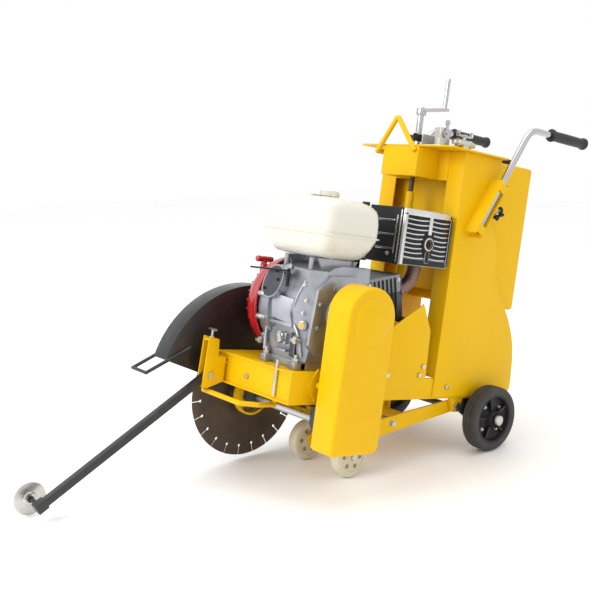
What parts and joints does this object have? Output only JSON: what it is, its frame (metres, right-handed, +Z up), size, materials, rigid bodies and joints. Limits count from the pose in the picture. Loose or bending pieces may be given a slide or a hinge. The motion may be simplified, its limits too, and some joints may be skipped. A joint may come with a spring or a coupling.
{
  "type": "walk-behind concrete saw",
  "caption": "Walk-behind floor saw: petrol engine on a steel chassis drives a guarded blade by belts, with a crank for cutting depth, water tank and adjustable handlebars.",
  "frame": {"origin": "on the ground under the middle of the overall box", "axes": "+Z up, -Y the direction of cutting travel, +X to the machine's left, the belt cover side; the blade is on the -X side"},
  "size_m": [0.552, 1.8002, 1.1207],
  "materials": {
    "yellow_paint": "gloss",
    "black_paint": "satin",
    "red_paint": "gloss",
    "cream_paint": "gloss",
    "grey_paint": "satin",
    "black_plastic": "matte",
    "white_nylon": "satin",
    "wheel_rubber": "matte",
    "grip_rubber": "matte",
    "belt_rubber": "matte",
    "bright_steel": "satin",
    "blade_steel": "worn",
    "polished_steel": "polished",
    "exhaust_steel": "worn",
    "cast_alloy": "cast",
    "cast_iron": "cast",
    "zinc_steel": "satin"
  },
  "bodies": {
    "chassis": {"main_frame": "yellow_paint", "engine_tray": "yellow_paint", "console_left_plate": "yellow_paint", "console_right_plate": "yellow_paint", "console_front_panel": "yellow_paint", "top_plate": "yellow_paint", "screw_housing": "yellow_paint", "belt_cover": "yellow_paint", "belt_cover_back": "yellow_paint", "water_tank": "yellow_paint", "pointer_bracket": "yellow_paint", "rear_axle": "black_paint", "arbor_bearings": "cast_iron", "v_belts": "belt_rubber", "fasteners": "zinc_steel", "top_controls": "zinc_steel", "muffler_guard": "polished_steel", "air_cleaner": "black_plastic", "spark_plug": "grip_rubber", "crankcase": "cast_alloy", "crankcase_cover": "cast_alloy", "cylinder": "cast_alloy", "valve_cover": "cast_alloy", "carburettor": "cast_alloy", "cylinder_shroud": "grey_paint", "fan_cover": "red_paint", "recoil_starter": "red_paint", "fuel_tank": "cream_paint", "muffler": "exhaust_steel"},
    "blade_arbor": {"arbor": "bright_steel", "driven_pulley": "cast_iron", "blade": "blade_steel", "blade_clamp": "zinc_steel"},
    "crankshaft": {"engine_shaft": "bright_steel", "drive_pulley": "cast_iron"},
    "rear_wheel_left": {"rear_wheel_left": "wheel_rubber"},
    "rear_wheel_right": {"rear_wheel_right": "wheel_rubber"},
    "swing_arm": {"swing_arm": "yellow_paint", "front_axle_bolts": "zinc_steel"},
    "front_wheel_left": {"front_wheel_left": "white_nylon"},
    "front_wheel_right": {"front_wheel_right": "white_nylon"},
    "lift_tube": {"lift_tube": "yellow_paint"},
    "crank": {"lift_screw": "bright_steel", "crank_handle": "polished_steel"},
    "crank_grip": {"crank_grip": "polished_steel"},
    "depth_lock": {"depth_lock": "black_plastic"},
    "blade_guard": {"blade_guard": "black_paint"},
    "pointer_arm": {"pointer_arm": "black_paint"},
    "pointer_disc": {"pointer_disc": "zinc_steel"},
    "handlebar_left": {"handlebar_left": "polished_steel", "handle_grip_left": "grip_rubber"},
    "handlebar_right": {"handlebar_right": "polished_steel", "handle_grip_right": "grip_rubber"},
    "clamp_knob_left": {"clamp_knob_left": "black_plastic"},
    "clamp_knob_right": {"clamp_knob_right": "black_plastic"},
    "fuel_cap": {"fuel_cap": "cream_paint"},
    "water_tank_cap": {"water_tank_cap": "black_plastic"},
    "throttle_lever": {"throttle_lever": "polished_steel"},
    "water_valve_lever": {"water_valve_lever": "polished_steel"},
    "starter_grip": {"recoil_grip": "red_paint"}
  },
  "joints": [
    {"name": "blade_spin", "type": "hinge", "parent": "chassis", "child": "blade_arbor", "pos_m": [-0.016, -0.16899, 0.19969], "axis": [1, 0, 0], "continuous": true},
    {"name": "engine_spin", "type": "hinge", "parent": "chassis", "child": "crankshaft", "pos_m": [-0.016, -0.11701, 0.48604], "axis": [1, 0, 0], "continuous": true},
    {"name": "rear_wheel_left_roll", "type": "hinge", "parent": "chassis", "child": "rear_wheel_left", "pos_m": [0.204, 0.45173, 0.1], "axis": [1, 0, 0], "continuous": true},
    {"name": "rear_wheel_right_roll", "type": "hinge", "parent": "chassis", "child": "rear_wheel_right", "pos_m": [-0.236, 0.45173, 0.1], "axis": [1, 0, 0], "continuous": true},
    {"name": "arm_swing", "type": "hinge", "parent": "chassis", "child": "swing_arm", "pos_m": [-0.016, 0.35771, 0.14197], "axis": [-1, 0, 0], "range_deg": [0, 14]},
    {"name": "front_wheel_left_roll", "type": "hinge", "parent": "swing_arm", "child": "front_wheel_left", "pos_m": [0.097, -0.03825, 0.05999], "axis": [1, 0, 0], "continuous": true},
    {"name": "front_wheel_right_roll", "type": "hinge", "parent": "swing_arm", "child": "front_wheel_right", "pos_m": [-0.091, -0.03825, 0.05999], "axis": [1, 0, 0], "continuous": true},
    {"name": "tube_lift", "type": "slide", "parent": "chassis", "child": "lift_tube", "axis": [0, 0.165, 0.9863], "range_m": [0, 0.0386]},
    {"name": "crank_turn", "type": "hinge", "parent": "chassis", "child": "crank", "pos_m": [-0.016, 0.34728, 1.03088], "axis": [0, 0.165, 0.9863], "range_deg": [0, 2775.6]},
    {"name": "crank_grip_spin", "type": "hinge", "parent": "crank", "child": "crank_grip", "pos_m": [0.076, 0.35471, 1.07526], "axis": [0, 0.165, 0.9863], "continuous": true},
    {"name": "depth_lock_turn", "type": "hinge", "parent": "chassis", "child": "depth_lock", "pos_m": [-0.016, 0.33358, 0.94902], "axis": [0, 0.165, 0.9863], "range_deg": [0, 360]},
    {"name": "guard_tilt", "type": "hinge", "parent": "chassis", "child": "blade_guard", "pos_m": [-0.23, -0.16899, 0.19969], "axis": [1, 0, 0], "range_deg": [-15, 17]},
    {"name": "pointer_raise", "type": "hinge", "parent": "chassis", "child": "pointer_arm", "pos_m": [-0.156, -0.34779, 0.30058], "axis": [-1, 0, 0], "range_deg": [0, 105]},
    {"name": "pointer_disc_roll", "type": "hinge", "parent": "pointer_arm", "child": "pointer_disc", "pos_m": [-0.219, -0.8561, 0.04406], "axis": [1, 0, 0], "continuous": true},
    {"name": "handlebar_left_slide", "type": "slide", "parent": "chassis", "child": "handlebar_left", "axis": [0, 0.6266, 0.7793], "range_m": [-0.03, 0.09]},
    {"name": "handlebar_right_slide", "type": "slide", "parent": "chassis", "child": "handlebar_right", "axis": [0, 0.6266, 0.7793], "range_m": [-0.03, 0.09]},
    {"name": "clamp_knob_left_turn", "type": "hinge", "parent": "chassis", "child": "clamp_knob_left", "pos_m": [0.183, 0.47222, 0.72784], "axis": [0, 0.7793, -0.6266], "range_deg": [0, 360]},
    {"name": "clamp_knob_right_turn", "type": "hinge", "parent": "chassis", "child": "clamp_knob_right", "pos_m": [-0.215, 0.47222, 0.72784], "axis": [0, 0.7793, -0.6266], "range_deg": [0, 360]},
    {"name": "fuel_cap_turn", "type": "hinge", "parent": "chassis", "child": "fuel_cap", "pos_m": [0.008, -0.05844, 0.79967], "axis": [0, 0.165, 0.9863], "range_deg": [0, 90]},
    {"name": "water_tank_cap_turn", "type": "hinge", "parent": "chassis", "child": "water_tank_cap", "pos_m": [0.054, 0.64671, 0.86924], "axis": [0, 0.165, 0.9863], "range_deg": [0, 360]},
    {"name": "throttle_swing", "type": "hinge", "parent": "chassis", "child": "throttle_lever", "pos_m": [0.092, 0.33984, 0.96217], "axis": [1, 0, 0], "range_deg": [-35, 35]},
    {"name": "water_valve_turn", "type": "hinge", "parent": "chassis", "child": "water_valve_lever", "pos_m": [0.104, 0.40756, 0.95489], "axis": [0, 0.165, 0.9863], "range_deg": [0, 90]},
    {"name": "starter_pull", "type": "slide", "parent": "chassis", "child": "starter_grip", "axis": [0, 0.165, 0.9863], "range_m": [0, 0.04], "stiffness_N_per_m": 120}
  ],
  "couplings": [
    {"joint": "engine_spin", "follows": "blade_spin", "ratio": 1.2},
    {"joint": "tube_lift", "follows": "crank_turn", "m_per_rad": 0.00079577},
    {"joint": "arm_swing", "follows": "crank_turn", "ratio": 0.005044}
  ]
}
